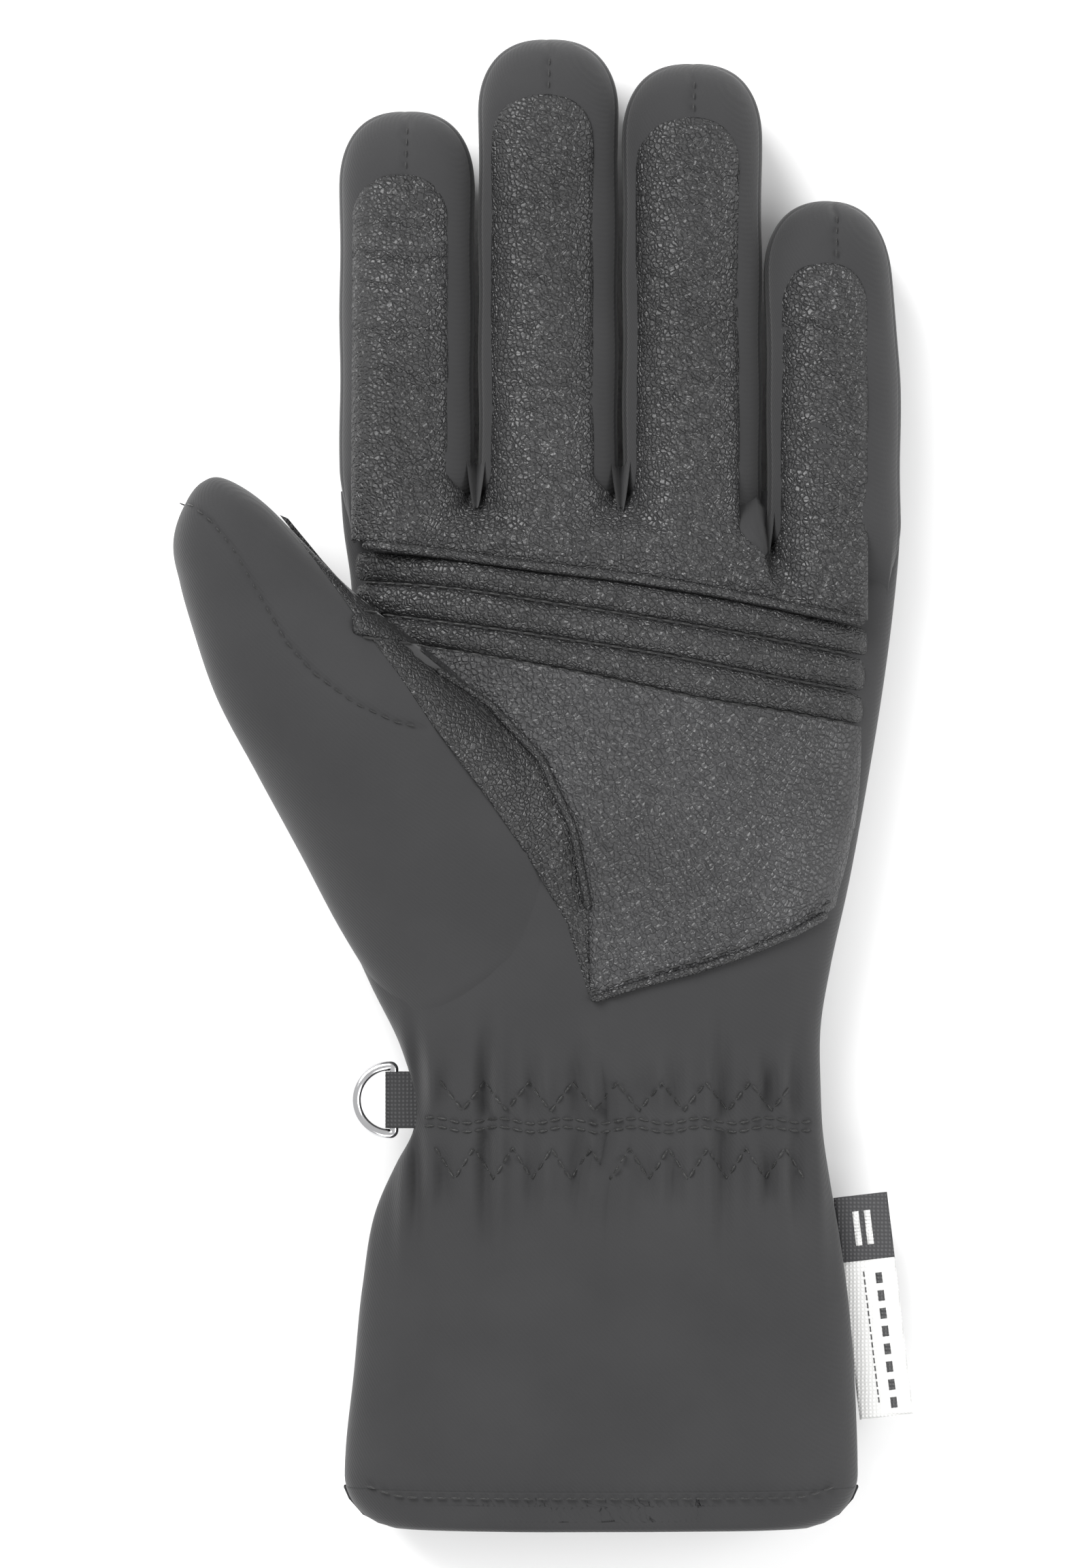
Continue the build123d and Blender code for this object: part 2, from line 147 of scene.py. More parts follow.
def body_height(x, y, side):
    """Height of the hand and cuff on the palm side (+1) or the back (-1)."""
    left, right = body_sides(y)
    u = (x - (left + right) / 2) / ((right - left) / 2)
    middle = (TOP(y) + LOW(y)) / 2
    closing = np.clip((finger_end(x) + 1.5 - y) / 9, 0.03, 1) ** 0.42
    full = crown(u, BODY_POWER)
    waves = gathers(x, y) * smoothstep(0, 0.7, full)
    rise = (TOP(y) - LOW(y)) / 2 * full * closing
    if side > 0:
        return middle + rise + waves + soft_swell(x, y) * full * closing * 0.6
    return middle - np.minimum(rise + waves * 0.6, middle - 0.05)


class Finger:
    """One finger stall, worked out from its CAD box."""

    def __init__(self, name):
        low, high = cad_box(name + "_fourchettes")
        panel_low, panel_high = cad_box(name + "_leather")
        self.name = name
        self.base = low[1]
        self.tip = high[1]
        self.left, self.right = low[0] + 0.1, high[0] - 0.1
        self.low, self.high = cad_box(name + "_back_shell")[0][2] + 0.1, panel_high[2]
        self.panel_left, self.panel_right = panel_low[0], panel_high[0]
        self.panel_top = panel_high[1]
        self.centre = (self.left + self.right) / 2

    def sides(self, y):
        t = np.clip((y - (self.tip - 15)) / 15, 0, 0.9999)
        half = (self.right - self.left) / 2 * (1 - t**2.5) ** (1 / 2.5)
        half = half * (1 - 0.016 * np.sin((y - self.base) * 0.13 + len(self.name)) ** 2)
        narrow = 0.0
        if self.name == "little":
            narrow = 1.6 * smoothstep(self.tip - 36, self.tip - 4, y)
        return self.centre - half - narrow * 0.3, self.centre + half - narrow * 1.4

    def height(self, x, y, side):
        left, right = self.sides(y)
        u = (x - (left + right) / 2) / ((right - left) / 2)
        t = np.clip((y - (self.tip - 14)) / 14, 0, 0.9999)
        half = (self.high - self.low) / 2 * (1 - t**2.3) ** (1 / 2.3)
        return (self.high + self.low) / 2 + side * half * crown(u, 2.6)


class Thumb:
    """The thumb and the swelling that carries it, along its own leaning axis."""
    LEFT = staticmethod(curve(
        (88, -43), (84, -46.7), (74, -50.7), (64, -53.4), (54, -55.6), (36, -56.9),
        (19, -57.8), (2, -58.8), (-10, -58.6), (-22, -57.5), (-34, -54)))
    RIGHT = staticmethod(curve(
        (88, -31), (80, -29.6), (73, -28), (66, -26.4), (58, -24.4), (48, -21), (30, -14),
        (5, -8), (-10, -10), (-22, -16), (-34, -24)))
    HIGH = staticmethod(curve((88, 40), (48, 40), (25, 37.0), (5, 32.2), (-12, 28.0), (-34, 22)))
    LOW = staticmethod(curve((88, 14.3), (48, 13), (25, 4), (5, 1.2), (-34, 3.0)))
    tip = 88.0
    start = -34.0

    @staticmethod
    def to_local(x, y):
        return x * math.cos(LEAN) + y * math.sin(LEAN), y * math.cos(LEAN) - x * math.sin(LEAN)

    @staticmethod
    def to_plan(u, a):
        return u * math.cos(LEAN) - a * math.sin(LEAN), u * math.sin(LEAN) + a * math.cos(LEAN)

    def sides(self, a):
        t = np.clip((a - (self.tip - 13)) / 13, 0, 0.9999)
        round_off = (1 - t**2.5) ** (1 / 2.5)
        middle = (self.LEFT(a) + self.RIGHT(a)) / 2
        half = (self.RIGHT(a) - self.LEFT(a)) / 2 * round_off
        return middle - half, middle + half

    def local_height(self, u, a, side):
        left, right = self.sides(a)
        v = (u - (left + right) / 2) / ((right - left) / 2)
        t = np.clip((a - (self.tip - 13)) / 13, 0, 0.9999)
        sink = np.clip((a - self.start) / 16, 0, 1) ** 0.5
        half = (self.HIGH(a) - self.LOW(a)) / 2 * (1 - t**2.3) ** (1 / 2.3) * sink
        return (self.HIGH(a) + self.LOW(a)) / 2 + side * half * crown(v, 2.25)

    def height(self, x, y, side=1):
        u, a = self.to_local(x, y)
        left, right = self.sides(a)
        inside = (u > left) & (u < right) & (a > self.start) & (a < self.tip)
        return np.where(inside, self.local_height(u, a, side), -50.0)


fingers = {name: Finger(name) for name in FINGERS}
thumb = Thumb()


def palm_height(x, y):
    """Palm-side height of the hand with its thumb swelling."""
    x, y = np.asarray(x, float), np.asarray(y, float)
    return smooth_max(body_height(x, y, 1), thumb.height(x, y), 2.0)


def skin_height(x, y, side=1):
    if side < 0:
        return body_height(np.asarray(x, float), np.asarray(y, float), -1)
    return palm_height(x, y)


# ---- materials ----
def new_material(name, colour, roughness, **sockets):
    material = bpy.data.materials.new(name)
    material.use_nodes = True
    shader = material.node_tree.nodes["Principled BSDF"]
    shader.inputs["Base Color"].default_value = (*colour, 1)
    shader.inputs["Roughness"].default_value = roughness
    for socket, value in sockets.items():
        shader.inputs[socket.replace("_", " ")].default_value = value
    return material


class Nodes:
    """Short forms for the nodes that the materials share."""

    def __init__(self, material):
        self.tree = material.node_tree
        self.shader = self.tree.nodes["Principled BSDF"]
        self.place = self.tree.nodes.new("ShaderNodeTexCoord").outputs["Object"]

    def add(self, kind, **settings):
        node = self.tree.nodes.new(kind)
        for key, value in settings.items():
            setattr(node, key, value)
        return node

    def link(self, a, b):
        self.tree.links.new(a, b)

    def stretched(self, x, y, z, turn=0.0):
        node = self.add("ShaderNodeMapping")
        node.inputs["Scale"].default_value = (x, y, z)
        node.inputs["Rotation"].default_value = (0, 0, turn)
        self.link(self.place, node.inputs["Vector"])
        return node.outputs["Vector"]

    def noise(self, scale, detail=3.0, place=None, roughness=0.5):
        node = self.add("ShaderNodeTexNoise")
        node.inputs["Scale"].default_value = scale
        node.inputs["Detail"].default_value = detail
        node.inputs["Roughness"].default_value = roughness
        self.link(place or self.place, node.inputs["Vector"])
        return node.outputs["Fac"]

    def ramp(self, value, low, high, low_colour, high_colour):
        node = self.add("ShaderNodeValToRGB")
        node.color_ramp.elements[0].position = low
        node.color_ramp.elements[1].position = high
        node.color_ramp.elements[0].color = (*low_colour, 1)
        node.color_ramp.elements[1].color = (*high_colour, 1)
        self.link(value, node.inputs["Fac"])
        return node.outputs["Color"]

    def bump(self, height, distance, strength, below=None):
        node = self.add("ShaderNodeBump")
        node.inputs["Distance"].default_value = distance
        node.inputs["Strength"].default_value = strength
        self.link(height, node.inputs["Height"])
        if below is not None:
            self.link(below, node.inputs["Normal"])
        return node.outputs["Normal"]


def leather_material(name, base, light, grain_size=950.0):
    """Goat leather: pebbled grain with painted shade in its grooves, fine creases across the fingers,
    painted highlights in lighter random patches.
    """
    material = new_material(name, base, 0.4)
    n = Nodes(material)
    cells = n.add("ShaderNodeTexVoronoi", feature="DISTANCE_TO_EDGE")
    cells.inputs["Scale"].default_value = grain_size
    warp = n.add("ShaderNodeVectorMath", operation="ADD")
    wobble = n.add("ShaderNodeTexNoise")
    wobble.inputs["Scale"].default_value = 600
    shrink = n.add("ShaderNodeVectorMath", operation="SCALE")
    shrink.inputs["Scale"].default_value = 0.0009
    n.link(n.place, wobble.inputs["Vector"])
    n.link(wobble.outputs["Color"], shrink.inputs[0])
    n.link(shrink.outputs[0], warp.inputs[0])
    n.link(n.place, warp.inputs[1])
    n.link(warp.outputs[0], cells.inputs["Vector"])
    pebble = n.ramp(cells.outputs["Distance"], 0.0, 0.22, (0, 0, 0), (1, 1, 1))
    crease = n.noise(1.0, 5.0, n.stretched(90, 520, 90), 0.62)
    fine = n.noise(2600, 2.0)
    first = n.bump(crease, 0.0006, 0.6)
    second = n.bump(pebble, 0.0002, 0.9, first)
    third = n.bump(fine, 0.00005, 0.4, second)
    n.link(third, n.shader.inputs["Normal"])
    # painted highlights: random patches lightened from the base colour towards the lighter colour, and
    # made glossier
    painted_highlight_patches = n.noise(28, 4.0)
    tone = n.ramp(painted_highlight_patches, 0.3, 0.72, base, light)
    # painted shade: the colour is darkened in the grooves between the grain's pebbles
    painted_groove_shade = n.add("ShaderNodeMix", data_type="RGBA", blend_type="MULTIPLY")
    painted_groove_shade.inputs["Factor"].default_value = 0.55
    n.link(tone, painted_groove_shade.inputs["A"])
    n.link(n.ramp(cells.outputs["Distance"], 0.0, 0.16, (0.25, 0.25, 0.25), (1, 1, 1)),
           painted_groove_shade.inputs["B"])
    n.link(painted_groove_shade.outputs["Result"], n.shader.inputs["Base Color"])
    n.link(n.ramp(painted_highlight_patches, 0.25, 0.8, (0.46,) * 3, (0.29,) * 3), n.shader.inputs["Roughness"])
    return material


def fabric_material(name, base, light, roughness=0.88):
    """Matte softshell with a fine twill line and slow tone changes."""
    material = new_material(name, base, roughness, Sheen_Weight=0.12, Sheen_Roughness=0.5)
    n = Nodes(material)
    twill = n.add("ShaderNodeTexWave", wave_type="BANDS", bands_direction="DIAGONAL")
    twill.inputs["Scale"].default_value = 620
    twill.inputs["Distortion"].default_value = 0.6
    n.link(n.place, twill.inputs["Vector"])
    yarn = n.noise(2400, 2.0)
    soft = n.noise(70, 4.0)
    first = n.bump(soft, 0.0008, 0.35)
    second = n.bump(twill.outputs["Fac"], 0.00006, 0.5, first)
    third = n.bump(yarn, 0.00006, 0.5, second)
    n.link(third, n.shader.inputs["Normal"])
    n.link(n.ramp(n.noise(45, 6.0), 0.3, 0.75, base, light), n.shader.inputs["Base Color"])
    return material


def weave_material(name, base, light, roughness=0.7):
    """Herringbone or plain woven tape."""
    material = new_material(name, base, roughness)
    n = Nodes(material)
    across = n.add("ShaderNodeTexWave", wave_type="BANDS", bands_direction="X")
    across.inputs["Scale"].default_value = 420
    across.inputs["Distortion"].default_value = 1.5
    along = n.add("ShaderNodeTexWave", wave_type="BANDS", bands_direction="Y")
    along.inputs["Scale"].default_value = 420
    n.link(n.place, across.inputs["Vector"])
    n.link(n.place, along.inputs["Vector"])
    both = n.add("ShaderNodeMath", operation="MULTIPLY")
    n.link(across.outputs["Fac"], both.inputs[0])
    n.link(along.outputs["Fac"], both.inputs[1])
    n.link(n.bump(both.outputs[0], 0.0002, 0.7), n.shader.inputs["Normal"])
    n.link(n.ramp(both.outputs[0], 0.0, 0.8, base, light), n.shader.inputs["Base Color"])
    return material


def fleece_material():
    material = new_material("fleece", (0.035, 0.035, 0.037), 0.95, Sheen_Weight=0.4)
    n = Nodes(material)
    n.link(n.bump(n.noise(900, 5.0, None, 0.7), 0.0006, 0.8), n.shader.inputs["Normal"])
    n.link(n.ramp(n.noise(300, 4.0), 0.3, 0.7, (0.02,) * 3, (0.06,) * 3),
           n.shader.inputs["Base Color"])
    return material


def chrome_material():
    material = new_material("chrome", (0.62, 0.62, 0.63), 0.16, Metallic=1.0)
    n = Nodes(material)
    n.link(n.ramp(n.noise(500, 4.0), 0.35, 0.75, (0.10,) * 3, (0.26,) * 3),
           n.shader.inputs["Roughness"])
    n.link(n.bump(n.noise(350, 3.0), 0.00003, 0.3), n.shader.inputs["Normal"])
    return material


# the second colour of each leather is the lighter tone of its painted highlight patches
leather = leather_material("palm_leather", (0.013, 0.013, 0.0135), (0.030, 0.030, 0.031), 1150.0)
heel_leather = leather_material("heel_leather", (0.021, 0.021, 0.022), (0.044, 0.044, 0.046), 1050.0)
fabric = fabric_material("softshell", (0.0165, 0.0165, 0.0175), (0.0225, 0.0225, 0.0235))
thread = fabric_material("thread", (0.005, 0.005, 0.005), (0.009, 0.009, 0.009), 0.5)
tape_weave = weave_material("tape_weave", (0.012, 0.012, 0.013), (0.045, 0.045, 0.047))
dark_weave = weave_material("label_weave_dark", (0.03, 0.03, 0.032), (0.075, 0.075, 0.078))
light_weave = weave_material("label_weave_light", (0.62, 0.62, 0.61), (0.86, 0.86, 0.85))
mark_weave = weave_material("label_marks", (0.05, 0.05, 0.052), (0.10, 0.10, 0.10))
fleece = fleece_material()
chrome = chrome_material()


# ---- mesh making ----
TABLE_GAP = 0.03         # nothing reaches lower than this above the table


def build(name, verts, faces, material):
    mesh = bpy.data.meshes.new(name)
    verts = np.array(verts, float)
    verts[:, 2] = np.maximum(verts[:, 2], TABLE_GAP)
    mesh.from_pydata((verts * MM).tolist(), [], faces)
    mesh.materials.append(material)
    mesh.polygons.foreach_set("use_smooth", [True] * len(mesh.polygons))
    mesh.update()
    piece = bpy.data.objects.new(name, mesh)
    bpy.context.scene.collection.objects.link(piece)
    return piece


def grid_faces(rows, columns, start=0, closed=False, flip=False):
    faces = []
    last = columns if closed else columns - 1
    for i in range(rows - 1):
        for j in range(last):
            k = (j + 1) % columns
            a, b = start + i * columns + j, start + i * columns + k
            c, d = start + (i + 1) * columns + k, start + (i + 1) * columns + j
            faces.append((d, c, b, a) if flip else (a, b, c, d))
    return faces


def slab_faces(rows, columns):
    """Faces of a closed slab made of two grids, one after the other, and the rim between them."""
    count = rows * columns
    faces = grid_faces(rows, columns) + grid_faces(rows, columns, count, flip=True)
    rim = (list(range(columns)) + [i * columns + columns - 1 for i in range(1, rows)]
           + [(rows - 1) * columns + j for j in range(columns - 2, -1, -1)]
           + [i * columns for i in range(rows - 2, 0, -1)])
    return faces + [(b, a, a + count, b + count) for a, b in zip(rim, rim[1:] + rim[:1])]


def panel(name, x, y, z, material, thickness=0.7):
    """A closed panel of even thickness whose outer face passes through a grid of points."""
    top = np.stack([x, y, z], -1).reshape(-1, 3)
    below = top - np.array([0, 0, thickness])
    return build(name, np.concatenate([top, below]), slab_faces(*x.shape), material)


def rolled_edge(distance):
    """Drop of a panel's face towards its turned-under edge."""
    return -0.55 * np.exp(-np.maximum(distance, 0) / 0.55)


def creases(x, y, lines, depth):
    """Narrow wavy folds across the X direction, each as (y, reach in x, centre x)."""
    total = np.zeros_like(x)
    for place, reach, centre, phase in lines:
        bend = place + 0.9 * np.sin(x * 0.42 + phase) + 0.35 * np.sin(x * 1.3 + phase * 2)
        near = np.exp(-((y - bend) / 0.55) ** 2)
        ridge = 0.55 * np.exp(-((y - bend - 1.3) / 0.8) ** 2)
        total += (ridge - near) * np.exp(-((x - centre) / reach) ** 2)
    return depth * total


def strand(name, path, radius, material, sides=10):
    """A round cord along a list of points."""
    path = np.asarray(path, float)
    along = np.gradient(path, axis=0)
    along /= np.linalg.norm(along, axis=1)[:, None]
    across = np.cross(along, (0, 0, 1.0))
    across /= np.linalg.norm(across, axis=1)[:, None]
    up = np.cross(across, along)
    turn = np.linspace(0, 2 * math.pi, sides, endpoint=False)
    swell = np.ones(len(path))
    swell[0] = swell[-1] = 0.35
    ring = (path[:, None] + radius * swell[:, None, None]
            * (np.cos(turn)[None, :, None] * across[:, None]
               + np.sin(turn)[None, :, None] * up[:, None]))
    verts = ring.reshape(-1, 3)
    faces = grid_faces(len(path), sides, closed=True)
    faces.append(tuple(range(sides)))
    faces.append(tuple(range(len(verts) - 1, len(verts) - sides - 1, -1)))
    return build(name, verts, faces, material)


def resample(points, step):
    points = np.asarray(points, float)
    run = np.concatenate([[0], np.cumsum(np.linalg.norm(np.diff(points, axis=0), axis=1))])
    count = max(int(run[-1] / step), 2)
    at = np.linspace(0, run[-1], count + 1)
    return np.stack([np.interp(at, run, points[:, k]) for k in range(points.shape[1])], 1)


def stitches(name, rows, height, side=1, length=2.2, gap=0.7, radius=0.21, lift=0.05):
    """Separate thread stitches along plan paths, pulled in at both ends."""
    verts, faces = [], []
    sides = 6
    swell = (0.45, 0.95, 1, 0.95, 0.45)
    steps = len(swell)
    turn = np.linspace(0, 2 * math.pi, sides, endpoint=False)
    for row in rows:
        path = resample(row, 0.2)
        run = np.concatenate([[0], np.cumsum(np.linalg.norm(np.diff(path, axis=0), axis=1))])
        for begin in np.arange(0, run[-1] - length, length + gap):
            at = begin + length * np.linspace(0, 1, steps)
            px, py = np.interp(at, run, path[:, 0]), np.interp(at, run, path[:, 1])
            arch = 0.14 * np.sin(np.linspace(0, math.pi, steps))
            pz = height(px, py, side) + side * (lift + arch)
            line = np.stack([px, py, pz], 1)
            along = line[-1] - line[0]
            along /= np.linalg.norm(along)
            across = np.cross(along, (0, 0, 1.0))
            across /= np.linalg.norm(across)
            up = np.cross(across, along)
            start = len(verts)
            for centre, share in zip(line, swell):
                for angle in turn:
                    spoke = math.cos(angle) * across + math.sin(angle) * up
                    verts.append(centre + radius * share * spoke)
            end = start + steps * sides - 1
            faces += grid_faces(steps, sides, start, closed=True)
            faces.append(tuple(range(start, start + sides)))
            faces.append(tuple(range(end, end - sides, -1)))
    return build(name, verts, faces, thread)


def groove(distance, depth=0.45, width=0.6):
    return -depth * np.exp(-(distance / width) ** 2)


FINGER_HINGE_Z = 27.5
THUMB_HINGE_Z = 40.0
WRIST_BEND = (-56.0, -77.0)     # where the bend of the wrist's fabric starts and ends
WRIST_HINGE_Z = 14.0


def point(x, y, z):
    return x * MM, y * MM, z * MM


def bend_finger(piece, finger):
    point(finger.centre, finger.base - 7, FINGER_HINGE_Z)
    point(finger.centre, finger.base + 8, FINGER_HINGE_Z)
    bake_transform(piece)


def bend_thumb(piece):
    start, end = (point(*Thumb.to_plan(-42.0, a), THUMB_HINGE_Z) for a in (38.0, 60.0))
    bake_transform(piece)
    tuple(start)
    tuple(end)


def bend_wrist(piece):
    start, end = (point(0, y, WRIST_HINGE_Z) for y in WRIST_BEND)
    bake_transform(piece)
    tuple(start)
    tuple(end)


# ---- hand and cuff fabric ----
SEAM_LINE = curve((-140, -5.5), (-64, -4.6), (-40, -4.8))


TUBE_SEGMENTS = 280
TUBE_DEPTH = 12.5        # inset at which a tube inside the glove would be quite flat


def body_tube(ys, inset, extra=None):
    """Vertices and faces of a tube inside the hand and cuff, at an inset from their surface."""
    theta = np.linspace(0, 2 * math.pi, TUBE_SEGMENTS, endpoint=False)
    y = np.asarray(ys, float)[:, None] + 0 * theta[None]
    left, right = body_sides(y)
    c, s = np.cos(theta)[None], np.sin(theta)[None]
    u = np.sign(c) * np.abs(c) ** (2 / BODY_POWER)
    x = (left + right) / 2 + ((right - left) / 2 - inset) * u
    edge = np.clip(x, left + 1e-4, right - 1e-4)
    z = np.where(s >= 0, body_height(edge, y, 1), body_height(edge, y, -1))
    middle = (TOP(y) + LOW(y)) / 2
    squeeze = np.clip(1 - inset / TUBE_DEPTH, 0, 1)
    z = middle + (z - middle) * squeeze
    if extra is not None:
        z = z + extra(x, y, s)
    verts = np.stack([x, y, z], -1).reshape(-1, 3)
    return verts, grid_faces(len(ys), TUBE_SEGMENTS, closed=True)


def body_seams(x, y, s):
    """Wrist seam on the palm side, and the groove of the hem's topstitched line."""
    seam = groove(x - SEAM_LINE(y), 0.5, 0.5) * smoothstep(-66, -63, y) * smoothstep(-38, -41, y)
    hem = groove(y - HEM_SEAM - 0.6, 0.35, 0.5) * np.abs(s) ** 0.5
    return seam * (s > 0) + hem * np.sign(s)


ys = np.concatenate([np.linspace(HEM_Y + 2, -84, 60), np.linspace(-83.5, -46, 90),
                     np.linspace(-45, 55, 90)])
verts, faces = body_tube(ys, 0.0, body_seams)
hand_shell = build("hand_and_cuff_softshell", verts, faces, fabric)
bend_wrist(hand_shell)
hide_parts("hand_back_shell", "wrist_front_shell", "cuff_front", "cuff_back",
            "hand_insulation", "hand_membrane", "cuff_insulation", "wrist_elastic", "cuff_elastic")

LINING_INSET = 3.2
LINING_END = 36
ys = np.linspace(HEM_Y + 3, LINING_END, 120)
verts, faces = body_tube(ys, LINING_INSET)
faces = [f[::-1] for f in faces] + [tuple(range(len(verts) - TUBE_SEGMENTS, len(verts)))]
lining = build("fleece_lining", verts, faces, fleece)
bend_wrist(lining)
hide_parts("hand_lining", "cuff_lining")


def hem_band():
    """The turned hem: a closed ring from outside the shell, round the edge, to the lining."""
    # height above the open end, inset from the outer surface
    profile = [(7.6, -0.35), (7.2, -0.55), (5.0, -0.5), (2.0, -0.5), (0.8, -0.2), (0.2, 0.6),
               (0.0, 1.5), (0.3, 2.5), (1.2, 3.2), (4.0, 3.5), (7.4, 3.6), (7.6, 3.0)]
    verts = np.concatenate([body_tube([HEM_Y + up], inset)[0] for up, inset in profile])
    count = TUBE_SEGMENTS
    faces = grid_faces(len(profile), count, closed=True, flip=True)
    last = (len(profile) - 1) * count
    faces += [(last + j, last + (j + 1) % count, (j + 1) % count, j)[::-1] for j in range(count)]
    return build("hem_band", verts, faces, fabric)


hem = hem_band()
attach(hem, "cuff")
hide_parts("hem_binding")

# ---- fingers ----
KNUCKLE = curve((-60, 45.4), (-37, 43.4), (-15, 40.4), (2, 38.3), (13, 36.6), (26, 34.2), (37, 31.9),
                (60, 27.2))
ROLLS = [KNUCKLE,
         curve((-60, 38.2), (-33, 36.6), (-11, 33.4), (13, 29.6), (37, 25.3), (60, 20.8)),
         curve((-60, 33.6), (-40, 31.0), (-15, 27.6), (9, 23.8), (30, 19.7), (60, 14.4)),
         curve((-60, 28.6), (-35, 25.3), (-8, 20.7), (19, 15.1), (30, 13.4), (60, 7.9))]
# where two neighbouring finger panels meet below the crotch
BORDERS = {"index": (-49.6, -26.3), "middle": (-26.3, 0.9), "ring": (0.9, 28.0),
           "little": (28.0, 48.6)}
# lowest and highest y of a finger's creases, and their number
CREASE_ZONES = {"index": (74, 112, 15), "middle": (64, 122, 15), "ring": (62, 116, 12),
                "little": (54, 92, 8)}


TUBE_SUNK = 9.0          # how far a finger's tube runs on inside the hand


def finger_tube(finger):
    """The softshell of one finger, with its tip seam and side seams."""
    segments, rows = 176, 150
    theta = np.linspace(0, 2 * math.pi, segments, endpoint=False)
    t = np.linspace(0, 1, rows)
    start = finger.base - TUBE_SUNK
    ys = start + (finger.tip - 0.02 - start) * (1 - (1 - t) ** 1.6)
    y = ys[:, None] + 0 * theta[None]
    left, right = finger.sides(y)
    c, s = np.cos(theta)[None], np.sin(theta)[None]
    u = np.sign(c) * np.abs(c) ** (2 / 2.6)
    x = (left + right) / 2 + (right - left) / 2 * u
    middle = (finger.high + finger.low) / 2
    z = middle + (finger.height(x, y, 1) - middle) * np.sign(s)
    z = np.where(np.abs(s) < 1e-9, middle, z)
    tip_seam = groove(x - finger.centre + 0.4 * np.sin(y), 0.55, 0.55)
    tip_seam = tip_seam * smoothstep(finger.panel_top - 1, finger.panel_top + 1, y)
    side_seam = groove(np.abs(z - middle) - 5.2, 0.35, 0.6) * (np.abs(c) > 0.6)
    swell = soft_swell(x * 2.2, y * 1.7) * 0.35
    z = z + np.sign(s) * (tip_seam + swell * np.abs(s))
    x = x + np.sign(c) * side_seam
    z = np.maximum(z, finger.low)
    hand_left, hand_right = body_sides(y)
    sunk = 1 - smoothstep(start, finger.base + 5, y)
    x = x + (np.clip(x, hand_left + 1.6, hand_right - 1.6) - x) * sunk
    z = middle + (z - middle) * (1 - 0.45 * sunk)
    verts = np.stack([x, y, z], -1).reshape(-1, 3)
    faces = grid_faces(rows, segments, closed=True)
    faces.append(tuple(range(len(verts) - segments, len(verts))))
    piece = build(finger.name + "_softshell", verts, faces, fabric)
    bend_finger(piece, finger)
    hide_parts(*(f"{finger.name}_{part}" for part in
                         ("back_shell", "fourchettes", "insulation", "membrane", "lining")))


def finger_panel(finger):
    """The leather on the palm side of one finger, from the knuckle piping to its arched top."""
    crotch = CROTCH[finger.name]
    columns, rows = 66, 190
    u = np.linspace(-1, 1, columns)[None] + np.zeros((rows, 1))
    v = np.linspace(0, 1, rows)[:, None] + np.zeros((1, columns))
    border_left, border_right = BORDERS[finger.name]
    arch = 9.5
    top = finger.panel_top - arch * (1 - crown(u, 2.4))
    guess_x = (border_left + border_right) / 2 + (border_right - border_left) / 2 * u
    y = KNUCKLE(guess_x) + 0.8 + v * (top - KNUCKLE(guess_x) - 0.8)
    right_crotch = CROTCH["little"] if finger.name == "ring" else crotch
    open_left = smoothstep(crotch - 1.5, crotch + 5, y)
    open_right = smoothstep(right_crotch - 1.5, right_crotch + 5, y)
    if finger.name == "index":
        open_left = np.ones_like(y)
    if finger.name == "little":
        open_right = np.ones_like(y)
    left = border_left + (finger.panel_left - border_left) * open_left
    right = border_right + (finger.panel_right - border_right) * open_right
    x = (left + right) / 2 + (right - left) / 2 * u
    low, high, number = CREASE_ZONES[finger.name]
    inner_left, inner_right = left.min() + 4, right.max() - 4
    lines = [(rng.uniform(low, high), rng.uniform(4, 11), rng.uniform(inner_left, inner_right),
              rng.uniform(0, 6)) for _ in range(number)]
    lines += [(crotch + 3 + 2.2 * k, 5 + k, finger.centre + rng.uniform(-6, 6), k)
              for k in range(3)]
    z = smooth_max(palm_height(x, y), finger.height(x, y, 1), 1.6) + 0.45
    side_gap = np.minimum(np.where(open_left > 0.5, (1 + u), 9) * (right - left) / 2,
                          np.where(open_right > 0.5, (1 - u), 9) * (right - left) / 2)
    z = z + rolled_edge(np.minimum(side_gap, (top - y) * 0.8))
    z = z + creases(x, y, lines, 0.26) + soft_swell(x * 3, y * 2) * 0.22
    piece = panel(finger.name + "_palm_leather", x, y, z, leather)
    bend_finger(piece, finger)
    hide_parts(finger.name + "_leather", "palm_leather_upper")


def finger_threads(finger):
    def height(x, y, side):
        return finger.height(x, y, side) - 0.15
    row = [(finger.centre, finger.panel_top + 1.2), (finger.centre + 0.3, finger.tip - 2.5)]
    tip = stitches(finger.name + "_tip_stitches", [row], height, length=1.3, gap=0.9, radius=0.14)
    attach(tip, finger.name)


def crotch_folds():
    """Small folded ends of the side fabric where two fingers part."""
    places = (("index", -26.3, 53.0), ("middle", 0.9, 52.4), ("ring", 28.0, 43.0))
    for name, x_mid, y_low in places:
        t = np.linspace(0, 1, 26)[:, None]
        w = np.linspace(-1, 1, 17)[None]
        x = x_mid + (0.4 + 1.5 * t**0.7) * w + 0 * t
        y = y_low - 1.5 + 10 * t - 1.5 * (1 - np.abs(w)) * t
        dip = 3.4 * (1 - np.abs(w) ** 1.5) * (0.2 + t)
        z = 24.2 - 3.4 * t - dip + 0.7 * np.abs(w)
        piece = panel(name + "_crotch_fold", x, y, z, fabric, 0.6)
        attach(piece, "hand")


for finger in fingers.values():
    finger_tube(finger)
    finger_panel(finger)
    finger_threads(finger)
crotch_folds()

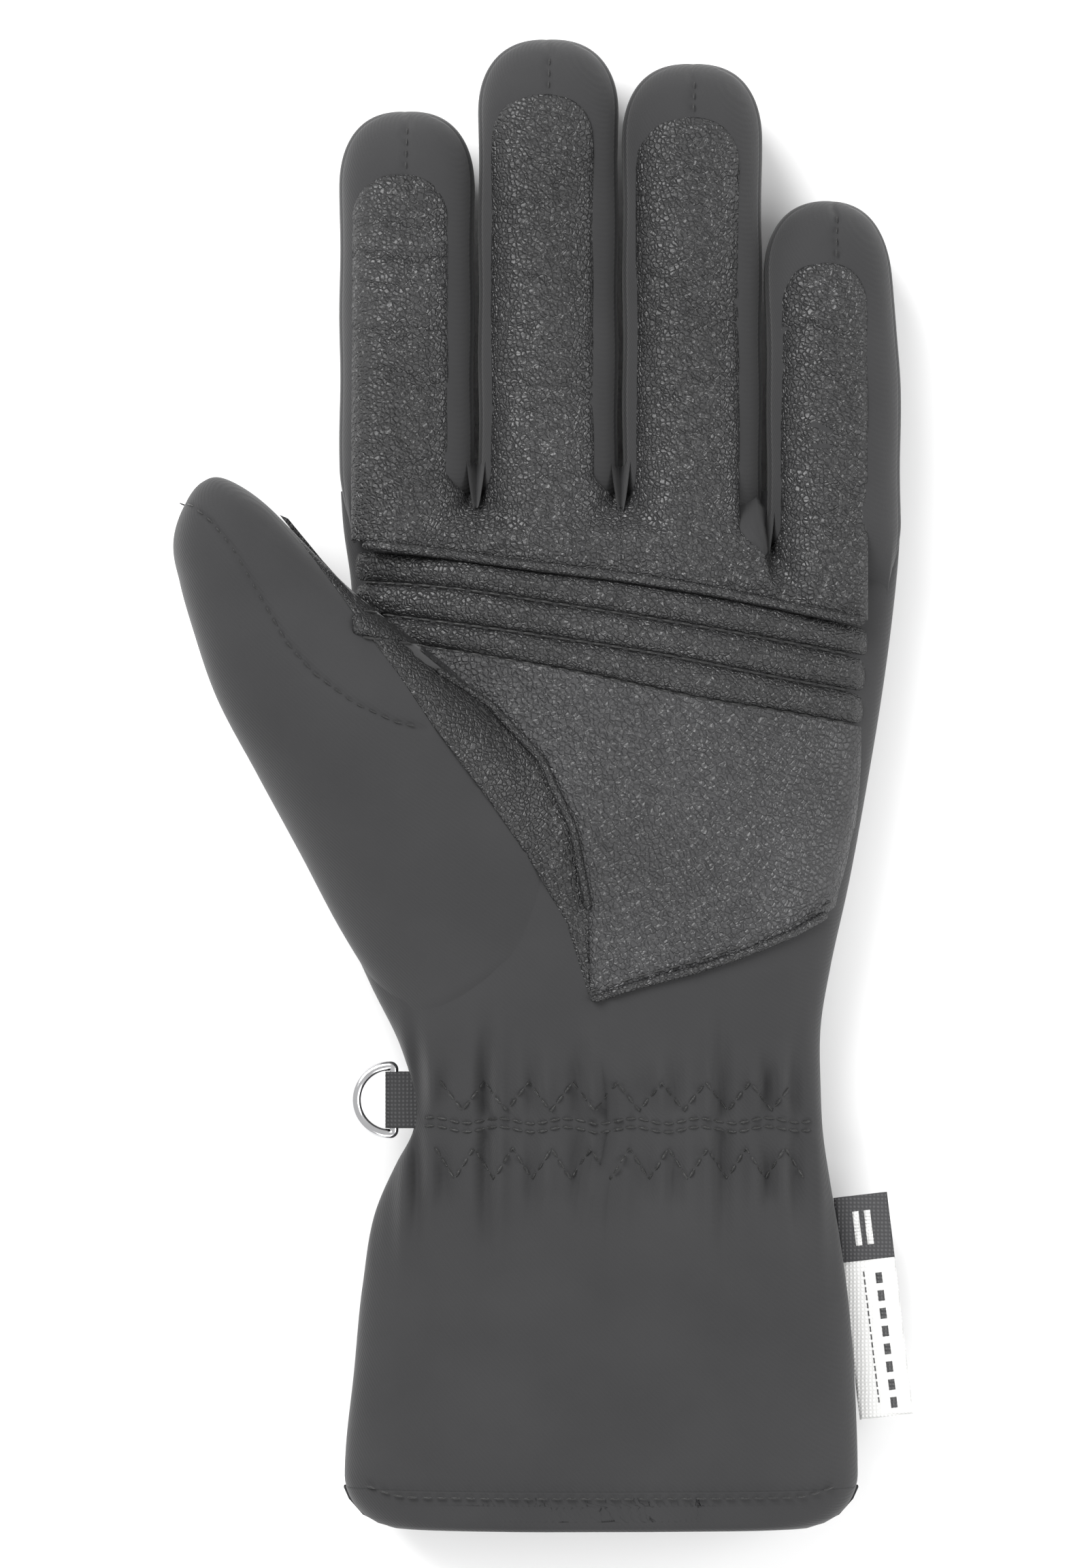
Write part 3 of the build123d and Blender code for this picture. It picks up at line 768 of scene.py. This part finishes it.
# ---- thumb ----
THUMB_SEAM = [(-82.4, 52.8), (-78.8, 51.4), (-74.8, 48), (-71.2, 43.5), (-66.2, 34.8), (-61.1, 25.9),
              (-56.1, 20.2), (-48.5, 14.6), (-41, 11.2), (-35.6, 10.0)]
GUSSET_LEFT = [(-63.5, 50.6), (-57.8, 43.4), (-51, 34.6), (-46, 27.4), (-40.6, 20.2), (-33.3, 9.3),
               (-23.2, -4.1), (-16.4, -14.1), (-9.4, -26.2), (-5.3, -39.4)]
GUSSET_RIGHT = [(-61.9, 49.9), (-55.4, 42.0), (-48.2, 34.0), (-41.2, 27.0), (-33.5, 21), (-23.9, 14.8),
                (-14.3, 4.7), (-8.2, -8.4), (-5.2, -23.7), (-4.7, -40.2)]


def distance_to(x, y, line):
    """Plan distance from points to a polyline."""
    best = np.full(np.shape(x), 1e9)
    for (x0, y0), (x1, y1) in zip(line, line[1:]):
        dx, dy = x1 - x0, y1 - y0
        t = np.clip(((x - x0) * dx + (y - y0) * dy) / (dx * dx + dy * dy), 0, 1)
        best = np.minimum(best, np.hypot(x - x0 - t * dx, y - y0 - t * dy))
    return best


def thumb_tube():
    segments, rows = 220, 190
    theta = np.linspace(0, 2 * math.pi, segments, endpoint=False)
    t = np.linspace(0, 1, rows)
    a = thumb.start + 0.3 + (thumb.tip - 0.32 - thumb.start) * (1 - (1 - t) ** 1.4)
    a = a[:, None] + 0 * theta[None]
    left, right = thumb.sides(a)
    c, s = np.cos(theta)[None], np.sin(theta)[None]
    v = np.sign(c) * np.abs(c) ** (2 / 2.25)
    u = (left + right) / 2 + (right - left) / 2 * v
    middle = (thumb.HIGH(a) + thumb.LOW(a)) / 2
    z = middle + (thumb.local_height(u, a, 1) - middle) * np.sign(s)
    x, y = Thumb.to_plan(u, a)
    seam = groove(distance_to(x, y, THUMB_SEAM), 0.55, 0.6) * (s > 0)
    z = z + seam + soft_swell(x, y) * 0.8 * np.maximum(s, 0)
    z = np.maximum(z, 0.25)
    verts = np.stack([x, y, z], -1).reshape(-1, 3)
    faces = grid_faces(rows, segments, closed=True)
    faces.append(tuple(range(len(verts) - segments, len(verts))))
    piece = build("thumb_softshell", verts, faces, fabric)
    bend_thumb(piece)
    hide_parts("thumb_shell", "thumb_insulation", "thumb_membrane", "thumb_lining")


def between(first, second, rows, columns):
    """A grid spanned between two polylines."""
    a = resample(first, 0.1)
    b = resample(second, 0.1)
    s = np.linspace(0, 1, rows)
    pick = [np.stack([np.interp(s, np.linspace(0, 1, len(k)), k[:, i]) for i in (0, 1)], 1)
            for k in (a, b)]
    t = np.linspace(0, 1, columns)[None, :, None]
    grid = pick[0][:, None] * (1 - t) + pick[1][:, None] * t
    return grid[..., 0], grid[..., 1]


def gusset():
    x, y = between(GUSSET_LEFT, GUSSET_RIGHT, 170, 46)
    across = np.minimum(distance_to(x, y, GUSSET_LEFT), distance_to(x, y, GUSSET_RIGHT))
    z = palm_height(x, y) + 0.5 + rolled_edge(across)
    lines = [(rng.uniform(-20, 30), rng.uniform(3, 6), rng.uniform(-36, -12), rng.uniform(0, 6))
             for _ in range(9)]
    z = z + creases(x, y, lines, 0.3)
    piece = panel("thumb_gusset_palm_leather", x, y, z, leather)
    bend_thumb(piece)
    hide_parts("thumb_gusset_leather", "thumb_leather")


thumb_tube()
gusset()
seam_threads = stitches("thumb_seam_stitches", [THUMB_SEAM],
                        lambda x, y, s: palm_height(x, y) - 0.25, length=1.5, gap=1.0, radius=0.15)
bend_thumb(seam_threads)


# ---- palm ----
PALM_LEFT = -49.0
PALM_RIGHT = curve((46, 48.6), (31, 47.4), (22, 46.8), (10, 46.2), (5, 46.0), (-2, 44.8), (-10, 42.8),
                   (-16, 41.6), (-23, 41.6))


def rolls():
    """Three padded leather rolls below the knuckle piping, sewn off from each other."""
    for k in range(3):
        upper, lower = ROLLS[k], ROLLS[k + 1]
        s = np.linspace(0, 1, 230)[:, None]
        t = np.linspace(0, 1, 22)[None]
        x = PALM_LEFT + (PALM_RIGHT(28 - 7 * k) - PALM_LEFT) * s + 0 * t
        gap = 0.9 if k == 0 else 0.12
        y = upper(x) - gap + (lower(x) - upper(x) + gap + 0.12) * t
        puff = (4 * t * (1 - t)) ** 0.55
        wrinkle = 0.22 * np.sin(x * 1.9 + 3 * k + np.sin(x * 0.7)) * (1 - puff)
        z = palm_height(x, y) - 0.35 + 1.95 * puff + wrinkle * 0.9
        ends = np.minimum(s, 1 - s) * 96
        z = z - 1.3 * np.exp(-ends / 1.0)
        piece = panel(f"knuckle_roll_{k + 1}", x, y, z, leather, 0.9)
        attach(piece, "hand")
        if k == 0:
            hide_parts("palm_roll_leather", "palm_foam_rolls")


def line_on(function, left, right):
    xs = np.linspace(left, right, 60)
    return np.stack([xs, function(xs)], 1)


HEEL = [(-5.0, -40.9), (-4.6, -40.7), (5.1, -37.6), (14.6, -35.2), (24.1, -32), (33.5, -28.2),
        (41.6, -23.6)]


def lower_palm():
    upper = line_on(ROLLS[3], -36.5, PALM_RIGHT(10)) - np.array([0, 0.1])
    gusset_part = resample([(-36.5, 24.6), (-30, 19.3)] + GUSSET_RIGHT[5:-1] + [(-4.9, -40.5)], 0.3)
    heel_part = resample(HEEL, 0.3)
    rows, columns = 240, 150
    s = np.linspace(0, 1, columns)
    split = 0.44

    def along(line, t):
        """Points at shares t of a line's length."""
        t = np.clip(t, 0, 1)
        base = np.linspace(0, 1, len(line))
        return np.stack([np.interp(t, base, line[:, i]) for i in (0, 1)], 1)
    bottom = np.where((s < split)[:, None], along(gusset_part, s / split),
                      along(heel_part, (s - split) / (1 - split)))
    top = along(upper, s**1.05)
    t = np.linspace(0, 1, rows)[:, None, None]
    plan = top[None] * (1 - t) + bottom[None] * t
    x, y = plan[..., 0], plan[..., 1]
    bulge = np.sin(np.pi * t[..., 0]) * s[None] ** 6 * 1.4
    x = x + bulge
    edge = np.minimum(distance_to(x, y, HEEL), distance_to(x, y, GUSSET_RIGHT[5:]))
    edge = np.minimum(edge, (1 - s[None]) * 60 + 0 * x)
    z = palm_height(x, y) + 0.5 + rolled_edge(edge)
    lines = [(rng.uniform(-25, 12), rng.uniform(4, 9), rng.uniform(-2, 40), rng.uniform(0, 6))
             for _ in range(5)]
    z = z + creases(x, y, lines, 0.14) + soft_swell(x * 2, y * 2) * 0.3
    piece = panel("lower_palm_leather", x, y, z, heel_leather)
    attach(piece, "hand")
    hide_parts("palm_leather_lower")


def panel_height(x, y):
    """Palm-side height with the finger panels that run down onto the hand."""
    heights = [palm_height(x, y)]
    for finger in fingers.values():
        left, right = BORDERS[finger.name]
        inside = (x >= left) & (x <= right)
        joined = smooth_max(heights[0], finger.height(x, y + 0.8, 1), 1.6)
        heights.append(np.where(inside, joined, -50))
    return np.max(heights, axis=0)


def piping(name, line, radius, lift, node, height=palm_height):
    plan = resample(line, 0.8)
    z = height(plan[:, 0], plan[:, 1]) + lift
    path = np.column_stack([plan, z])
    piece = strand(name, path, radius, leather)
    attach(piece, "hand")
    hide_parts(node)


rolls()
lower_palm()
piping("knuckle_piping_cord", line_on(KNUCKLE, -47.4, 46.4), 0.95, 0.85, "knuckle_piping",
       panel_height)
piping("heel_piping_cord", HEEL[1:-1] + [(39.8, -24.7)], 0.8, 0.55, "heel_piping")
piping("gusset_piping_cord", GUSSET_RIGHT[4:-1], 0.8, 0.75, "gusset_piping")


def shifted(line, dx, dy):
    return [(x + dx, y + dy) for x, y in line]


def leather_top(x, y, side):
    return palm_height(x, y) + 0.42


roll_rows = [line_on(ROLLS[k], -47, PALM_RIGHT(28 - 6 * k) - 1.5) for k in (1, 2, 3)]
roll_rows.append(line_on(lambda x: KNUCKLE(x) - 1.5, -47, 46))
roll_threads = stitches("roll_stitches", roll_rows, lambda x, y, s: palm_height(x, y) + 0.15,
                        length=2.3, gap=1.0, radius=0.26)
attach(roll_threads, "hand")
palm_threads = stitches("palm_edge_stitches",
                        [shifted(HEEL[1:], -0.5, 1.5), shifted(GUSSET_RIGHT[5:-1], -1.7, -0.6)],
                        leather_top, length=2.2, gap=0.9, radius=0.2)
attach(palm_threads, "hand")


# ---- wrist and hem threads ----
def zigzag(y_low, y_high, period, left, right):
    xs = np.arange(left, right, period / 2)
    ys = np.where(np.arange(len(xs)) % 2 == 0, y_high, y_low)
    return list(zip(xs, ys))


def waist_row(x, y):
    """A straight row that the elastic has pulled into a slight wave."""
    return y + 0.5 * np.sin(x * 0.5)


def hem_line(x):
    """The hem's topstitching, which rises at the rounded corners."""
    return HEM_SEAM - 0.9 + 2.8 * smoothstep(36, 49, np.abs(x + 2.75))


for side, word in ((1, "palm"), (-1, "back")):
    rows = [zigzag(-61.6, -56.2, 8.3, -33, 36), zigzag(-74.4, -68.6, 7.3, -34, 37)]
    rows += [line_on(lambda x, y=y: waist_row(x, y), -36, 37) for y in (-63.5, -65.1)]
    wrist_threads = stitches(f"wrist_stitches_{word}", rows, skin_height, side,
                             length=1.8, gap=0.6, radius=0.24, lift=0.12)
    bend_wrist(wrist_threads)
    hem_threads = stitches(f"hem_stitches_{word}", [line_on(hem_line, -47, 41.5)], skin_height,
                           side, length=1.9, gap=0.8, radius=0.21, lift=0.58)
    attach(hem_threads, "cuff")

# ---- ring, webbing loop and labels ----
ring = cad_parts["d_ring"]
ring.data.materials.clear()
ring.data.materials.append(chrome)


def webbing():
    """Woven tape folded round the ring's bar, both ends sewn into the side seam."""
    low, high = cad_box("webbing_loop")
    middle = (low[2] + high[2]) / 2
    bend = (high[2] - low[2]) / 2 - 0.3
    turn_x = low[0] + bend + 0.3
    root = LEFT(-60.0) + 1.6
    turn = np.linspace(math.pi / 2, 3 * math.pi / 2, 15)
    path = [(x, middle + bend) for x in np.linspace(root, turn_x + 0.3, 8)]
    path += [(turn_x + bend * math.cos(a), middle + bend * math.sin(a)) for a in turn]
    path += [(x, middle - bend) for x in np.linspace(turn_x + 0.3, root, 8)]
    path = np.array(path)
    width = high[1] - low[1]
    along = np.gradient(path, axis=0)
    along /= np.linalg.norm(along, axis=1)[:, None]
    out = np.stack([-along[:, 1], along[:, 0]], 1)
    yarns = 31
    across = np.linspace(-width / 2, width / 2, yarns)
    weave = 0.07 * np.cos(np.arange(yarns) * math.pi)
    verts, rows = [], len(path)
    for offset in (-0.25, 0.25):
        for k in range(rows):
            for j, w in enumerate(across):
                reach = offset + weave[j] * (1 if k % 2 else -1) * np.sign(offset)
                verts.append((path[k, 0] + out[k, 0] * reach, (low[1] + high[1]) / 2 + w,
                              path[k, 1] + out[k, 1] * reach))
    faces = slab_faces(rows, yarns)
    piece = build("folded_webbing_tape", verts, faces, tape_weave)
    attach(piece, "tab")
    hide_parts("webbing_loop")


LABEL_WIDTH = 10.2
SEAM_ALLOWANCE = 1.0     # part of a label that is sewn into the side seam
LABEL_LEAN = math.radians(6.8)
DARK_LENGTH = 12.4
LABEL_LENGTH = 42.3      # both labels together


def label_curl(across, along):
    """Height by which the labels curl up, more towards their free edge."""
    return 0.5 * np.sin(along * 0.13 + 0.6) * (np.maximum(across, 0) / 9) ** 1.5


def woven_label(name, node, start, end, material):
    """One woven label, and a function that places marks on it."""
    low, high = cad_box("side_label_dark")
    origin = np.array([low[0], high[1] - 1.1, (low[2] + high[2]) / 2])
    out = np.array([math.cos(LABEL_LEAN), math.sin(LABEL_LEAN)])
    down = np.array([math.sin(LABEL_LEAN), -math.cos(LABEL_LEAN)])
    s = np.linspace(0, 1, 40)[:, None]
    t = np.linspace(0, 1, 18)[None]
    across = LABEL_WIDTH * t - SEAM_ALLOWANCE + 0 * s
    along = start + (end - start) * s + 0 * t
    x = origin[0] + out[0] * across + down[0] * along
    y = origin[1] + out[1] * across + down[1] * along
    z = origin[2] + 0.25 + label_curl(across, along)
    piece = panel(name, x, y, z, material, 0.4)
    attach(piece, "side_label")
    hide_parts(node)

    def place(across, along):
        return (origin[0] + out[0] * across + down[0] * along,
                origin[1] + out[1] * across + down[1] * along,
                origin[2] + 0.33 + label_curl(across, along))
    return place


def marks(name, bars, place, material):
    """Plain woven bars on a label, each as (left, right, upper end, lower end)."""
    verts, faces = [], []
    for a0, a1, b0, b1 in bars:
        steps = max(int((b1 - b0) / 0.6), 2)
        for k in range(steps):
            f0, f1 = b0 + (b1 - b0) * k / steps, b0 + (b1 - b0) * (k + 1) / steps
            corners = [place(a0, f0), place(a1, f0), place(a1, f1), place(a0, f1)]
            start = len(verts)
            verts += corners + [(x, y, z - 0.2) for x, y, z in corners]
            faces += [(start, start + 1, start + 2, start + 3),
                      (start + 7, start + 6, start + 5, start + 4)]
            faces += [(start + i, start + 4 + i, start + 4 + (i + 1) % 4, start + (i + 1) % 4)
                      for i in range(4)]
    piece = build(name, verts, faces, material)
    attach(piece, "side_label")


webbing()
place = woven_label("dark_woven_label", "side_label_dark", 0, DARK_LENGTH, dark_weave)
marks("dark_label_bars", [(2.2, 3.4, 3, 9.5), (4.4, 5.6, 3, 9.5)], place, light_weave)
place = woven_label("light_woven_label", "side_label_light", DARK_LENGTH, LABEL_LENGTH,
                    light_weave)
bars = [(2.9, 3.15, 14.5 + 1.5 * k, 15.5 + 1.5 * k) for k in range(17)]
bars += [(5.2, 6.4, 15 + 3.4 * k, 17 + 3.4 * k) for k in range(8)]
marks("light_label_bars", bars, place, mark_weave)
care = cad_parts["care_label"]
care.data.materials.clear()
care.data.materials.append(light_weave)


# ---- floor, light, camera ----
CAMERA_HEIGHT = 1.25     # metres
CAMERA_FIELD = 0.295     # height of the field of view at the glove, in metres
SENSOR = 24.0
FLOOR_Z = -0.0006


def studio():
    """A pale floor, three soft lights, and a camera straight above the palm, in metres."""
    floor_mesh = bpy.data.meshes.new("floor")
    corners = [(x, y, FLOOR_Z) for x, y in ((-4, -4), (4, -4), (4, 4), (-4, 4))]
    floor_mesh.from_pydata(corners, [], [(0, 1, 2, 3)])
    floor_mesh.materials.append(new_material("floor", (0.93, 0.93, 0.93), 0.9))
    floor = bpy.data.objects.new("floor", floor_mesh)
    bpy.context.scene.collection.objects.link(floor)
    world = bpy.data.worlds.new("studio")
    world.use_nodes = True
    world.node_tree.nodes["Background"].inputs["Color"].default_value = (1, 1, 1, 1)
    world.node_tree.nodes["Background"].inputs["Strength"].default_value = 0.7
    bpy.context.scene.world = world
    for name, place, size, power in (("key", (-0.45, 0.55, 0.75), 0.6, 13),
                                     ("fill", (0.75, -0.1, 0.6), 0.7, 5),
                                     ("low", (0.0, -0.8, 0.5), 0.6, 3)):
        data = bpy.data.lights.new(name, "AREA")
        data.shape = "SQUARE"
        data.size = size
        data.energy = power
        lamp = bpy.data.objects.new(name, data)
        lamp.location = place
        aim = np.array([0, 0, 0.02]) - np.array(place)
        lamp.rotation_euler = (math.atan2(math.hypot(aim[0], aim[1]), -aim[2]), 0,
                               math.atan2(-aim[0], aim[1]))
        bpy.context.scene.collection.objects.link(lamp)
    data = bpy.data.cameras.new("camera")
    data.sensor_fit = "VERTICAL"
    data.sensor_height = SENSOR
    data.lens = SENSOR * (CAMERA_HEIGHT - 0.02) / CAMERA_FIELD
    camera = bpy.data.objects.new("camera", data)
    camera.location = (-0.0137, -0.0003, CAMERA_HEIGHT)
    bpy.context.scene.collection.objects.link(camera)
    bpy.context.scene.camera = camera
    bpy.context.scene.view_settings.view_transform = "Standard"


studio()
